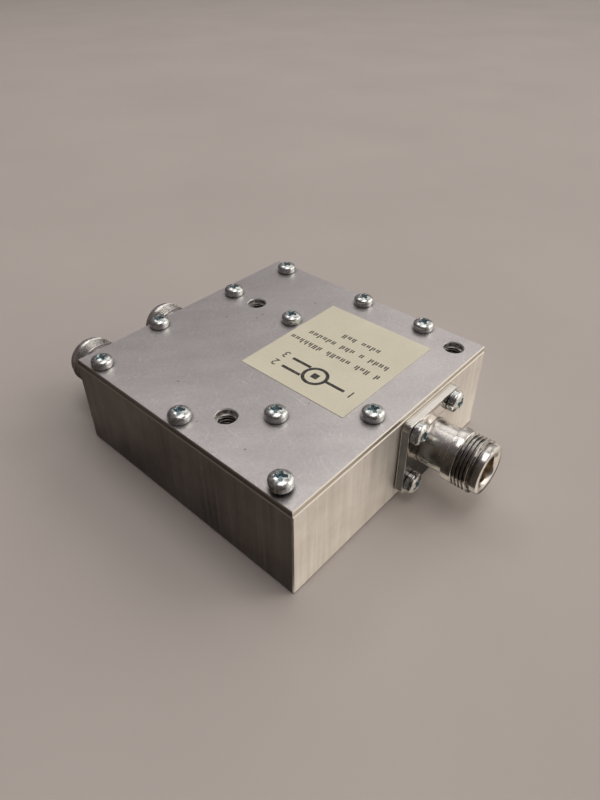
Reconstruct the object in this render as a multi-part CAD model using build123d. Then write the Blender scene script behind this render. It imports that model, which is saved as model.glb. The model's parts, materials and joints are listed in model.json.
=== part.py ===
from build123d import *
import os

# A two-way coaxial power splitter. A milled aluminium box with a screwed lid carries
# one flange jack on its front face and two on its back face, and a microstrip
# divider board lies in the pocket under the lid.
# Millimetres. The origin is the centre of the box's underside and +Z is up. The
# input jack points along -Y and the two output jacks point along +Y.

# Box and lid
BOX_WIDTH = 86.6
BOX_DEPTH = 86.6
BODY_HEIGHT = 28.4
BODY_EDGE_BREAK = 0.35
LID_THICKNESS = 1.6
LID_INSET = 0.2
LID_EDGE_BREAK = 0.25

# Jack places on the box: the output jacks sit just under the middle of the body's
# height, and the input jack a little higher than they do
OUTPUT_SIDE_INSET = 14.2
OUTPUT_PITCH = 30.5
OUTPUT_DROP = 0.4
INPUT_OFFSET = 10.1
INPUT_RISE = 1.6

# Pocket milled from the top: a room for the divider and a leg to the input jack
END_WALL = 9.8
ROOM_DEPTH = 37.0
ROOM_MARGIN = 6.75
LEG_WIDTH = 13.0
LEG_REACH = 9.5
POCKET_CORNER_R = 3.0

# Jack shell, measured outward from the face that it is screwed to
FLANGE_SIZE = 25.4
FLANGE_THICKNESS = 2.6
FLANGE_CORNER_R = 2.0
FLANGE_HOLE_SPACING = 18.3
BARREL_DIAMETER = 13.9
BARREL_LENGTH = 7.8
THREAD_DIAMETER = 15.875
THREAD_LENGTH = 8.0
THREAD_END_BREAK = 0.4
RELIEF_DIAMETER = 14.0
RELIEF_LENGTH = 0.5
NOSE_DIAMETER = 14.5
NOSE_LENGTH = 1.9
NOSE_BREAK = 0.4
SOCKET_DIAMETER = 8.1
SOCKET_DEPTH = 9.1
MOUTH_DIAMETER = 9.4
MOUTH_TAPER_LENGTH = 0.8

# Insulator and centre contact of a jack
INSULATOR_DIAMETER = 7.0
INSULATOR_TAIL_DIAMETER = 4.2
CONTACT_DIAMETER = 3.04
CONTACT_RECESS = 4.9
CONTACT_SOCKET_DIAMETER = 1.65
CONTACT_SOCKET_DEPTH = 3.9
CONTACT_SLOT_WIDTH = 0.35
CONTACT_SLOT_LENGTH = 3.3
STEM_DIAMETER = 2.1
TAIL_DIAMETER = 1.27
TAIL_REACH = 4.0
FIT_CLEARANCE = 0.03

# Screws: nominal thread, head and cross recess
M3_DIAMETER = 3.0
M3_HEAD_DIAMETER = 6.3
M3_HEAD_HEIGHT = 2.9
M3_CLEARANCE_DIAMETER = 3.4
M25_DIAMETER = 2.5
M25_HEAD_DIAMETER = 4.5
M25_HEAD_HEIGHT = 1.7
M25_CLEARANCE_DIAMETER = 2.8
THREAD_CLEARANCE = 0.05
HEAD_RIM_SHARE = 0.53
RECESS_SPAN_SHARE = 0.54
RECESS_WIDTH_SHARE = 0.17
RECESS_DEPTH_SHARE = 0.55
LID_SCREW_LENGTH = 5.0
FLANGE_SCREW_LENGTH = 8.0
BOARD_SCREW_LENGTH = 6.0
HOLE_RUN_OUT = 0.6
PROUD_SCREW_LIFT = 1.2

# Lid screw places, as distances from the box's sides and from the pocket's walls
LEFT_SCREW_INSET = 3.85
RIGHT_SCREW_INSET = 4.2
FRONT_CORNER_SCREW_INSET = 7.1
BACK_CORNER_SCREW_INSET = 8.0
MIDDLE_SCREW_Y = 0.0
RIGHT_FRONT_SCREW_INSET = 19.8
FRONT_SCREW_X = -5.6
FRONT_SCREW_INSET = 6.3
BACK_LEFT_SCREW_X = -15.1
BACK_LEFT_SCREW_INSET = 3.1
BACK_RIGHT_SCREW_INSET = 5.9
COLUMN_SCREW_OFFSET = 6.65
COLUMN_SCREW_RISE = 4.5
INNER_LEFT_SCREW_INSET = 20.9
INNER_LEFT_SCREW_DROP = 14.8

# Threaded mounting holes through the box, and the larger holes above them in the lid
MOUNT_THREAD_DIAMETER = 6.0
MOUNT_LID_DIAMETER = 6.4
MOUNT_CORNER_INSET = 7.0
MOUNT_BACK_INSET = 16.4
MOUNT_COLUMN_OFFSET = 7.2
MOUNT_SIDE_INSET = 12.4
MOUNT_LEFT_DROP = 5.0

# Label on the lid, as deep as the room between two screw heads allows
LABEL_WIDTH = 42.3
LABEL_THICKNESS = 0.12
LABEL_X = 9.85
LABEL_BACK_GAP = 0.95
LABEL_FRONT_GAP = 2.25

# Divider board in the pocket
BOARD_THICKNESS = 1.6
BOARD_CLEARANCE = 0.4
FOIL_THICKNESS = 0.1
LINE_WIDTH = 4.6
ARM_WIDTH = 2.6
LINE_CORNER_R = 3.0
LINE_END_GAP = 0.4
CROSS_INSET = 4.0
OUTPUT_LEAD = 5.7
RING_RADIUS = 8.5
BOARD_SCREW_OFFSET = 16.8
HEAD_WALL_GAP = 0.45

# Resistor that bridges the mouth of the ring
RESISTOR_LENGTH = 6.4
RESISTOR_WIDTH = 3.2
RESISTOR_HEIGHT = 0.8
RESISTOR_CAP_LENGTH = 1.1
RESISTOR_CAP_WALL = 0.08

# Strap from the higher input tail down to the board, and the solder on the joints
STRAP_WIDTH = 3.0
STRAP_THICKNESS = 0.3
STRAP_TAB_LENGTH = 3.0
STRAP_FOOT_LENGTH = 2.7
STRAP_SLOPE_LENGTH = 1.8
STRAP_WALL_GAP = 0.5
SOLDER_MARGIN = 0.3
SOLDER_FILM = 0.06
SOLDER_SETBACK = 0.7
SOLDER_HEIGHT = 1.8
SOLDER_SLOPE_RUN = 0.65
FOOT_SOLDER_HEIGHT = 0.7

# Sides and levels that follow from the sizes above
LEFT = -BOX_WIDTH / 2
RIGHT = BOX_WIDTH / 2
FRONT = -BOX_DEPTH / 2
BACK = BOX_DEPTH / 2
LID_TOP_Z = BODY_HEIGHT + LID_THICKNESS
OUTPUT_LEFT_X = LEFT + OUTPUT_SIDE_INSET
OUTPUT_RIGHT_X = OUTPUT_LEFT_X + OUTPUT_PITCH
OUTPUT_Z = BODY_HEIGHT / 2 - OUTPUT_DROP
INPUT_X = OUTPUT_RIGHT_X + INPUT_OFFSET
INPUT_Z = OUTPUT_Z + INPUT_RISE
TRACK_TOP_Z = OUTPUT_Z - TAIL_DIAMETER / 2 - SOLDER_FILM
STRAP_TOP_Z = INPUT_Z - TAIL_DIAMETER / 2 - SOLDER_FILM
BOARD_TOP_Z = TRACK_TOP_Z - FOIL_THICKNESS
FLOOR_Z = BOARD_TOP_Z - BOARD_THICKNESS
ROOM_LEFT_X = OUTPUT_LEFT_X - ROOM_MARGIN
ROOM_RIGHT_X = OUTPUT_RIGHT_X + ROOM_MARGIN
ROOM_BACK_Y = BACK - END_WALL
ROOM_FRONT_Y = ROOM_BACK_Y - ROOM_DEPTH
LEG_FRONT_Y = FRONT + END_WALL
LEG_BACK_Y = ROOM_FRONT_Y + LEG_REACH
LEG_LEFT_X = INPUT_X - LEG_WIDTH / 2
LEG_RIGHT_X = INPUT_X + LEG_WIDTH / 2
CROSS_Y = ROOM_FRONT_Y + CROSS_INSET
OUTPUT_RUN_Y = ROOM_BACK_Y - LINE_END_GAP - OUTPUT_LEAD
RING_X = (OUTPUT_LEFT_X + OUTPUT_RIGHT_X) / 2
RING_Y = (CROSS_Y + OUTPUT_RUN_Y) / 2
RING_MOUTH_X = RESISTOR_LENGTH / 2
RING_MOUTH_Y = RING_Y + (RING_RADIUS**2 - RING_MOUTH_X**2) ** 0.5
SHELL_LENGTH = FLANGE_THICKNESS + BARREL_LENGTH + THREAD_LENGTH + RELIEF_LENGTH + NOSE_LENGTH
SOCKET_FLOOR = SHELL_LENGTH - SOCKET_DEPTH

JACK_PLANES = {
    "input": Plane((INPUT_X, FRONT, INPUT_Z), x_dir=(1, 0, 0), z_dir=(0, -1, 0)),
    "output_1": Plane((OUTPUT_LEFT_X, BACK, OUTPUT_Z), x_dir=(-1, 0, 0), z_dir=(0, 1, 0)),
    "output_2": Plane((OUTPUT_RIGHT_X, BACK, OUTPUT_Z), x_dir=(-1, 0, 0), z_dir=(0, 1, 0)),
}
SCREW_COLUMN_X = ROOM_RIGHT_X + COLUMN_SCREW_OFFSET
COLUMN_SCREW_Y = LEG_BACK_Y + COLUMN_SCREW_RISE
FRONT_SCREW_Y = FRONT + FRONT_SCREW_INSET
PROUD_SCREW_POINT = (LEFT + LEFT_SCREW_INSET, FRONT + FRONT_CORNER_SCREW_INSET)
SEATED_SCREW_POINTS = (
    (LEFT + LEFT_SCREW_INSET, MIDDLE_SCREW_Y),
    (LEFT + LEFT_SCREW_INSET, BACK - BACK_CORNER_SCREW_INSET),
    (BACK_LEFT_SCREW_X, BACK - BACK_LEFT_SCREW_INSET),
    (SCREW_COLUMN_X, BACK - BACK_RIGHT_SCREW_INSET),
    (RIGHT - RIGHT_SCREW_INSET, BACK - BACK_CORNER_SCREW_INSET),
    (RIGHT - RIGHT_SCREW_INSET, MIDDLE_SCREW_Y),
    (RIGHT - RIGHT_SCREW_INSET, FRONT + RIGHT_FRONT_SCREW_INSET),
    (FRONT_SCREW_X, FRONT_SCREW_Y),
    (LEFT + INNER_LEFT_SCREW_INSET, ROOM_FRONT_Y - INNER_LEFT_SCREW_DROP),
    (SCREW_COLUMN_X, COLUMN_SCREW_Y),
)
LID_SCREW_POINTS = SEATED_SCREW_POINTS + (PROUD_SCREW_POINT,)
MOUNT_POINTS = (
    (ROOM_RIGHT_X + MOUNT_COLUMN_OFFSET, BACK - MOUNT_BACK_INSET),
    (LEFT + MOUNT_SIDE_INSET, ROOM_FRONT_Y - MOUNT_LEFT_DROP),
    (RIGHT - MOUNT_CORNER_INSET, FRONT + MOUNT_CORNER_INSET),
)
LEG_SCREW_INSET = M25_HEAD_DIAMETER / 2 + HEAD_WALL_GAP
BOARD_SCREW_POINTS = (
    (RING_X, RING_Y),
    (RING_X - BOARD_SCREW_OFFSET, RING_Y),
    (RING_X + BOARD_SCREW_OFFSET, RING_Y),
    (LEG_RIGHT_X - LEG_SCREW_INSET, LEG_BACK_Y - LEG_SCREW_INSET),
)
FLANGE_HOLE_POINTS = tuple(
    (x * FLANGE_HOLE_SPACING / 2, y * FLANGE_HOLE_SPACING / 2) for x in (-1, 1) for y in (-1, 1)
)


def upright(points, diameter, low, high):
    """Round bars at the points, standing from the low level to the high one."""
    disks = Sketch() + [Pos(x, y) * Circle(diameter / 2) for x, y in points]
    return extrude(Pos(0, 0, low) * disks, amount=high - low)


def pan_head_screw(diameter, length, head_diameter, head_height):
    """A screw standing upright, with the underside of its head at the origin."""
    radius = head_diameter / 2
    rim = head_height * HEAD_RIM_SHARE
    crown = EllipticalCenterArc((0, rim), radius, head_height - rim, start_angle=0, arc_size=90)
    outline = crown + Polyline((0, head_height), (0, 0), (radius, 0), (radius, rim))
    head = revolve(Plane.XZ * make_face(outline), Axis.Z)
    shank = extrude(Circle(diameter / 2 - THREAD_CLEARANCE), amount=-length)
    span = head_diameter * RECESS_SPAN_SHARE
    width = head_diameter * RECESS_WIDTH_SHARE
    cross = Rectangle(span, width) + Rectangle(width, span)
    recess_floor = head_height * (1 - RECESS_DEPTH_SHARE)
    recess = extrude(Pos(0, 0, recess_floor) * cross, amount=head_height)
    return head + shank - recess


def pocket_outline():
    """The pocket seen from above: the divider's room with a leg to the input jack."""
    corners = Polyline(
        (LEG_LEFT_X, LEG_FRONT_Y),
        (LEG_RIGHT_X, LEG_FRONT_Y),
        (LEG_RIGHT_X, LEG_BACK_Y),
        (ROOM_RIGHT_X, LEG_BACK_Y),
        (ROOM_RIGHT_X, ROOM_BACK_Y),
        (ROOM_LEFT_X, ROOM_BACK_Y),
        (ROOM_LEFT_X, ROOM_FRONT_Y),
        (LEG_LEFT_X, ROOM_FRONT_Y),
        close=True,
    )
    outline = make_face(corners)
    return fillet(outline.vertices(), POCKET_CORNER_R)


def housing():
    block = extrude(Rectangle(BOX_WIDTH, BOX_DEPTH), amount=BODY_HEIGHT)
    block = chamfer(block.edges(), BODY_EDGE_BREAK)
    block -= extrude(Pos(0, 0, FLOOR_Z) * pocket_outline(), amount=BODY_HEIGHT)
    lid_hole_depth = LID_SCREW_LENGTH - LID_THICKNESS + HOLE_RUN_OUT
    block -= upright(LID_SCREW_POINTS, M3_DIAMETER, BODY_HEIGHT - lid_hole_depth, BODY_HEIGHT)
    board_hole_depth = BOARD_SCREW_LENGTH - BOARD_THICKNESS + HOLE_RUN_OUT
    block -= upright(BOARD_SCREW_POINTS, M25_DIAMETER, FLOOR_Z - board_hole_depth, FLOOR_Z)
    block -= upright(MOUNT_POINTS, MOUNT_THREAD_DIAMETER, 0, BODY_HEIGHT)
    flange_hole_depth = FLANGE_SCREW_LENGTH - FLANGE_THICKNESS + HOLE_RUN_OUT
    for plane in JACK_PLANES.values():
        block -= plane * upright(FLANGE_HOLE_POINTS, M3_DIAMETER, -flange_hole_depth, 0)
        block -= plane * upright([(0, 0)], INSULATOR_TAIL_DIAMETER, -END_WALL, 0)
    return block


def lid():
    width = BOX_WIDTH - 2 * LID_INSET
    depth = BOX_DEPTH - 2 * LID_INSET
    plate = extrude(Pos(0, 0, BODY_HEIGHT) * Rectangle(width, depth), amount=LID_THICKNESS)
    plate = chamfer(plate.edges().group_by(Axis.Z)[-1], LID_EDGE_BREAK)
    plate -= upright(LID_SCREW_POINTS, M3_CLEARANCE_DIAMETER, BODY_HEIGHT, LID_TOP_Z)
    plate -= upright(MOUNT_POINTS, MOUNT_LID_DIAMETER, BODY_HEIGHT, LID_TOP_Z)
    return plate


def label():
    back_y = COLUMN_SCREW_Y - M3_HEAD_DIAMETER / 2 - LABEL_BACK_GAP
    front_y = FRONT_SCREW_Y + M3_HEAD_DIAMETER / 2 + LABEL_FRONT_GAP
    place = Pos(LABEL_X, (back_y + front_y) / 2, LID_TOP_Z)
    return extrude(place * Rectangle(LABEL_WIDTH, back_y - front_y), amount=LABEL_THICKNESS)


def lid_screws():
    """Eleven alike, of which the one at the front left corner isn't driven home."""
    screw = pan_head_screw(M3_DIAMETER, LID_SCREW_LENGTH, M3_HEAD_DIAMETER, M3_HEAD_HEIGHT)
    seated = [Pos(x, y, LID_TOP_Z) * screw for x, y in SEATED_SCREW_POINTS]
    x, y = PROUD_SCREW_POINT
    return Compound(seated + [Pos(x, y, LID_TOP_Z + PROUD_SCREW_LIFT) * screw])


def jack_shell():
    """Flange, barrel, threaded coupling part and nose in one turned and milled piece."""
    flange = extrude(Rectangle(FLANGE_SIZE, FLANGE_SIZE), amount=FLANGE_THICKNESS)
    flange = fillet(flange.edges().filter_by(Axis.Z), FLANGE_CORNER_R)
    flange -= upright(FLANGE_HOLE_POINTS, M3_CLEARANCE_DIAMETER, 0, FLANGE_THICKNESS)
    thread_start = FLANGE_THICKNESS + BARREL_LENGTH
    thread_end = thread_start + THREAD_LENGTH
    nose_start = thread_end + RELIEF_LENGTH
    outline = Polyline(
        (0, 0),
        (BARREL_DIAMETER / 2, 0),
        (BARREL_DIAMETER / 2, thread_start),
        (THREAD_DIAMETER / 2 - THREAD_END_BREAK, thread_start),
        (THREAD_DIAMETER / 2, thread_start + THREAD_END_BREAK),
        (THREAD_DIAMETER / 2, thread_end - THREAD_END_BREAK),
        (THREAD_DIAMETER / 2 - THREAD_END_BREAK, thread_end),
        (RELIEF_DIAMETER / 2, thread_end),
        (RELIEF_DIAMETER / 2, nose_start),
        (NOSE_DIAMETER / 2, nose_start),
        (NOSE_DIAMETER / 2, SHELL_LENGTH - NOSE_BREAK),
        (NOSE_DIAMETER / 2 - NOSE_BREAK, SHELL_LENGTH),
        (0, SHELL_LENGTH),
        close=True,
    )
    bore = Polyline(
        (0, 0),
        (INSULATOR_DIAMETER / 2, 0),
        (INSULATOR_DIAMETER / 2, SOCKET_FLOOR),
        (SOCKET_DIAMETER / 2, SOCKET_FLOOR),
        (SOCKET_DIAMETER / 2, SHELL_LENGTH - MOUTH_TAPER_LENGTH),
        (MOUTH_DIAMETER / 2, SHELL_LENGTH),
        (0, SHELL_LENGTH),
        close=True,
    )
    turned = revolve(Plane.XZ * make_face(outline), Axis.Z)
    return flange + turned - revolve(Plane.XZ * make_face(bore), Axis.Z)


def jack_insulator():
    """A stepped bead that fills the shell's bore and runs on through the box wall."""
    bead = Circle(INSULATOR_DIAMETER / 2 - FIT_CLEARANCE) - Circle(STEM_DIAMETER / 2 + FIT_CLEARANCE)
    tail = Circle(INSULATOR_TAIL_DIAMETER / 2 - FIT_CLEARANCE) - Circle(TAIL_DIAMETER / 2 + FIT_CLEARANCE)
    return extrude(bead, amount=SOCKET_FLOOR) + extrude(tail, amount=-END_WALL)


def jack_contact():
    """A slotted socket at the front, a stem in the bead and a thin tail to the board."""
    tip = SHELL_LENGTH - CONTACT_RECESS
    pin = extrude(Pos(0, 0, SOCKET_FLOOR) * Circle(CONTACT_DIAMETER / 2), amount=tip - SOCKET_FLOOR)
    pin += extrude(Circle(STEM_DIAMETER / 2), amount=SOCKET_FLOOR)
    pin += extrude(Circle(TAIL_DIAMETER / 2), amount=-END_WALL - TAIL_REACH)
    pin -= extrude(Pos(0, 0, tip) * Circle(CONTACT_SOCKET_DIAMETER / 2), amount=-CONTACT_SOCKET_DEPTH)
    slots = Rectangle(CONTACT_DIAMETER, CONTACT_SLOT_WIDTH) + Rectangle(CONTACT_SLOT_WIDTH, CONTACT_DIAMETER)
    return pin - extrude(Pos(0, 0, tip) * slots, amount=-CONTACT_SLOT_LENGTH)


def flange_screws():
    screw = pan_head_screw(M3_DIAMETER, FLANGE_SCREW_LENGTH, M3_HEAD_DIAMETER, M3_HEAD_HEIGHT)
    return Compound([Pos(x, y, FLANGE_THICKNESS) * screw for x, y in FLANGE_HOLE_POINTS])


def circuit_board():
    outline = offset(pocket_outline(), -BOARD_CLEARANCE)
    board = extrude(Pos(0, 0, FLOOR_Z) * outline, amount=BOARD_THICKNESS)
    return board - upright(BOARD_SCREW_POINTS, M25_CLEARANCE_DIAMETER, FLOOR_Z, BOARD_TOP_Z)


def foil_along(path, width):
    """A strip of foil that follows a flat path on the board's top."""
    start = Plane(origin=path @ 0, z_dir=path % 0, x_dir=(0, 0, 1))
    return sweep(start * Pos(FOIL_THICKNESS / 2, 0) * Rectangle(FOIL_THICKNESS, width), path=path)


def circuit_tracks():
    """The input line, the two arms of the ring and the two output lines."""
    ring_foot = (RING_X, RING_Y - RING_RADIUS, BOARD_TOP_Z)
    feed = FilletPolyline(
        (INPUT_X, LEG_FRONT_Y + LINE_END_GAP, BOARD_TOP_Z),
        (INPUT_X, CROSS_Y, BOARD_TOP_Z),
        (RING_X, CROSS_Y, BOARD_TOP_Z),
        ring_foot,
        radius=min(LINE_CORNER_R, RING_Y - RING_RADIUS - CROSS_Y),
    )
    tracks = foil_along(feed, LINE_WIDTH)
    for side, output_x in ((-1, OUTPUT_LEFT_X), (1, OUTPUT_RIGHT_X)):
        mouth_x = RING_X + side * RING_MOUTH_X
        arm = ThreePointArc(
            ring_foot,
            (RING_X + side * RING_RADIUS, RING_Y, BOARD_TOP_Z),
            (mouth_x, RING_MOUTH_Y, BOARD_TOP_Z),
        )
        line = FilletPolyline(
            (mouth_x, RING_MOUTH_Y - ARM_WIDTH / 2, BOARD_TOP_Z),
            (mouth_x, OUTPUT_RUN_Y, BOARD_TOP_Z),
            (output_x, OUTPUT_RUN_Y, BOARD_TOP_Z),
            (output_x, ROOM_BACK_Y - LINE_END_GAP, BOARD_TOP_Z),
            radius=min(LINE_CORNER_R, OUTPUT_RUN_Y - RING_MOUTH_Y),
        )
        tracks += foil_along(arm, ARM_WIDTH)
        tracks += foil_along(line, LINE_WIDTH)
    return tracks


def board_screws():
    screw = pan_head_screw(M25_DIAMETER, BOARD_SCREW_LENGTH, M25_HEAD_DIAMETER, M25_HEAD_HEIGHT)
    return Compound([Pos(x, y, BOARD_TOP_Z) * screw for x, y in BOARD_SCREW_POINTS])


def resistor_place():
    return Pos(RING_X, (RING_MOUTH_Y + OUTPUT_RUN_Y) / 2, TRACK_TOP_Z)


def isolation_resistor():
    """The ceramic bar between the two end caps."""
    bar = Pos(0, 0, RESISTOR_CAP_WALL) * Rectangle(RESISTOR_LENGTH, RESISTOR_WIDTH)
    return resistor_place() * extrude(bar, amount=RESISTOR_HEIGHT)


def resistor_end_caps():
    wall = RESISTOR_CAP_WALL
    length = RESISTOR_LENGTH + 2 * wall
    width = RESISTOR_WIDTH + 2 * wall
    height = RESISTOR_HEIGHT + 2 * wall
    sleeve = extrude(Rectangle(length, width), amount=height)
    sleeve -= extrude(Rectangle(length - 2 * RESISTOR_CAP_LENGTH, width), amount=height)
    return Compound((resistor_place() * sleeve - isolation_resistor()).solids())


def input_strap():
    """A bent copper strip from under the input tail down to the input line."""
    high = STRAP_TOP_Z
    low = TRACK_TOP_Z + STRAP_THICKNESS
    start = LEG_FRONT_Y + STRAP_WALL_GAP
    bend = start + STRAP_TAB_LENGTH
    toe = bend + STRAP_SLOPE_LENGTH
    outline = Polyline(
        (start, high),
        (bend, high),
        (toe, low),
        (toe + STRAP_FOOT_LENGTH, low),
        (toe + STRAP_FOOT_LENGTH, low - STRAP_THICKNESS),
        (toe - STRAP_THICKNESS / 2, low - STRAP_THICKNESS),
        (bend - STRAP_THICKNESS / 2, high - STRAP_THICKNESS),
        (start, high - STRAP_THICKNESS),
        close=True,
    )
    side = Plane((INPUT_X, 0, 0), x_dir=(0, 1, 0), z_dir=(1, 0, 0))
    return extrude(side * make_face(outline), amount=STRAP_WIDTH / 2, both=True)


def solder_cone(x, y, z, radius, height):
    """A blunt cone of solder that stands on a joint."""
    upright_cone = Cone(radius, radius - SOLDER_SLOPE_RUN, height, align=(Align.CENTER, Align.CENTER, Align.MIN))
    return Pos(x, y, z) * upright_cone


def solder_joints(contacts):
    """One cone over each output tail, and one at each end of the strap."""
    line_radius = LINE_WIDTH / 2 - SOLDER_MARGIN
    tab_radius = STRAP_WIDTH / 2 - SOLDER_MARGIN
    tail_y = ROOM_BACK_Y - TAIL_REACH + SOLDER_SETBACK
    tab_start_y = LEG_FRONT_Y + STRAP_WALL_GAP
    tab_y = tab_start_y + STRAP_TAB_LENGTH / 2
    toe_y = tab_start_y + STRAP_TAB_LENGTH + STRAP_SLOPE_LENGTH + STRAP_FOOT_LENGTH
    cones = [
        solder_cone(OUTPUT_LEFT_X, tail_y, TRACK_TOP_Z, line_radius, SOLDER_HEIGHT),
        solder_cone(OUTPUT_RIGHT_X, tail_y, TRACK_TOP_Z, line_radius, SOLDER_HEIGHT),
        solder_cone(INPUT_X, tab_y, STRAP_TOP_Z, tab_radius, SOLDER_HEIGHT),
        solder_cone(INPUT_X, toe_y, TRACK_TOP_Z, line_radius, FOOT_SOLDER_HEIGHT),
    ]
    for piece in (*contacts, input_strap()):
        cones = [cone - piece for cone in cones]
    return Compound([solid for cone in cones for solid in cone.solids()])


def build_parts():
    """Every piece of the splitter by its name."""
    parts = {
        "housing": housing(),
        "lid": lid(),
        "label": label(),
        "lid_screws": lid_screws(),
        "circuit_board": circuit_board(),
        "circuit_tracks": circuit_tracks(),
        "board_screws": board_screws(),
        "isolation_resistor": isolation_resistor(),
        "resistor_end_caps": resistor_end_caps(),
        "input_strap": input_strap(),
    }
    for name, plane in JACK_PLANES.items():
        parts[f"{name}_jack_shell"] = plane * jack_shell()
        parts[f"{name}_jack_insulator"] = plane * jack_insulator()
        parts[f"{name}_jack_contact"] = plane * jack_contact()
        parts[f"{name}_flange_screws"] = plane * flange_screws()
    contacts = [parts[f"{name}_jack_contact"] for name in JACK_PLANES]
    parts["solder_joints"] = solder_joints(contacts)
    return parts


os.makedirs("parts", exist_ok=True)
for node, shape in build_parts().items():
    export_step(shape, f"parts/{node}.step")
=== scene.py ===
import json
import math
import random

import bmesh
import bpy
from mathutils import Matrix, Vector


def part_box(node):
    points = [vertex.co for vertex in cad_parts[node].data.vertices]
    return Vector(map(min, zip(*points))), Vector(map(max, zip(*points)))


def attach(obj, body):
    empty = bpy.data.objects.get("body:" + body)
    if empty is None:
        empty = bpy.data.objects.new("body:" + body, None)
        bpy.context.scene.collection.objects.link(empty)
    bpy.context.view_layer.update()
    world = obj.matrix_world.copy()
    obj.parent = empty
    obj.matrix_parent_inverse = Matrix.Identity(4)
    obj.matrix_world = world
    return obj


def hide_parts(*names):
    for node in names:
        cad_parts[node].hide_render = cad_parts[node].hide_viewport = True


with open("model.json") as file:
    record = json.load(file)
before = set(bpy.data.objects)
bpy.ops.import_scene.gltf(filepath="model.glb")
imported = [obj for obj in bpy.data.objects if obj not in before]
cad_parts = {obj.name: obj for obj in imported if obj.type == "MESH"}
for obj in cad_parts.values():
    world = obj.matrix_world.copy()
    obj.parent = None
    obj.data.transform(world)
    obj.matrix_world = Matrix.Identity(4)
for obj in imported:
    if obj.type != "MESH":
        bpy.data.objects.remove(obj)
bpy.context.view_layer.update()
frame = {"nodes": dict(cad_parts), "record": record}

# The looks of a two-way coaxial power splitter. Shapes are worked out in millimetres in
# the row's own frame and scaled to metres as each piece is made.
MM = 0.001
SEED = 11
WELD_MM = 0.002

# Camera, as fitted to the photograph
FRAME_WIDTH_PX = 600
FRAME_HEIGHT_PX = 800
FOCAL_PX = 611.0
PRINCIPAL_X_PX = 299.24
PRINCIPAL_Y_PX = 365.35
CAMERA_PLACE = (-107.54, -103.83, 134.81)
CAMERA_AZIMUTH = 47.77
CAMERA_DOWNWARD = 36.22
CAMERA_ROLL = -0.286
SENSOR_WIDTH = 36.0
CLIP_NEAR = 0.01
CLIP_FAR = 50

# Jack: what the frame doesn't give, measured along its axis from the box's face
FLANGE_THICKNESS = 2.6
FLANGE_CORNER_R = 2.0
FLANGE_CORNER_STEPS = 8
FLANGE_EDGE_R = 0.16
FLANGE_HOLE_R = 1.7
FLANGE_FACE_Y = 45.95  # just past the flange's front, from the middle of the box
BARREL_FADE = 0.3
BARREL_R = 6.95
BARREL_END = 10.4
BARREL_FILLET = 0.05
COUPLING_R = 7.9375
COLLAR_EDGE = ((0.28, 0), (0.05, 0.14), (0, 0.32))  # inward and along, from a sharp corner
THREAD_PITCH = 1.0583
THREAD_DEPTH = 0.62
THREAD_START = 12.9
THREAD_END = 18.4
THREAD_GAP = 0.02
RELIEF_R = 7.0
RELIEF_FLANK = 0.35
NOSE_R = 7.25
NOSE_START = 18.9
NOSE_FILLET = 0.08
NOSE_BREAK = 0.4
NOSE_ROUNDING = (0.35, 0.25)  # inward and back, as shares of the break
TURNED_EDGE = 0.12
SOCKET_R = 4.05
SOCKET_DEPTH = 9.1
SOCKET_LIP = (0.05, 0.15)  # outward and along
MOUTH_R = 4.7
MOUTH_TAPER = 0.8
INSULATOR_R = 3.5
SHELL_OVERLAP = 0.05
LATHE_STEPS = 144

# Threads: crest and root as shares of the pitch, and where the rows lie in each turn
CREST_SHARE = 0.10
ROOT_SHARE = 0.34
THREAD_PHASES = (0.0, 0.05, 0.14, 0.24, 0.34, 0.5, 0.66, 0.76, 0.86, 0.95)
RUN_OUT_SHARE = 0.9

# Pan head screws
HEAD_R = 3.15
HEAD_HEIGHT = 2.9
HEAD_RIM = 1.54
HEAD_WALL_SHARE = 0.92
HEAD_UNDER_BREAK = 0.12
CROWN_DEGREES = (6, 14, 22, 31, 40)
CROWN_SHARES = (0.45, 0.8, 1.0)
CAD_RECESS_CORNER_R = 0.757
RECESS_REACH = 1.66
RECESS_HALF_WIDTH = 0.50
RECESS_DROP = 0.12
RECESS_DEPTH = 1.15
RECESS_SHARES = (0.0, 0.06, 0.55, 1.0)
RECESS_FLOOR_SHARE = 0.55
RECESS_FLOOR_WIDTH = 0.8
RECESS_POINT_SHARE = 1.15
RECESS_LIP = 0.07
SHANK_R = 1.45
SHANK_NECK = 0.1
SHANK_TIP = 0.3
SHANK_PITCH = 0.5
SHANK_DEPTH = 0.24
SHANK_STEPS = 24

# A recess's outline, as shares of half the width of a wing
WING_END = 0.6
WING_CORNER = 0.3
NOTCH = 1.5
NOTCH_CORNER = 0.25
NOTCH_SHOULDER = 1.28

# Mounting holes
LID_HOLE_R = 3.2
# The burred lip's section: outward from the hole's wall and up from the lid's top
LIP_SECTION = ((0.01, -0.02), (-0.20, -0.34), (-0.20, -0.42), (-0.10, -0.52), (0.01, -0.56))
LIP_STEPS = 96
MOUNT_PITCH = 1.0
MOUNT_DEPTH = 0.5
MOUNT_LEAD_IN = 0.25
MOUNT_LEAD_SHARE = 0.8
MOUNT_STEPS = 56

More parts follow.
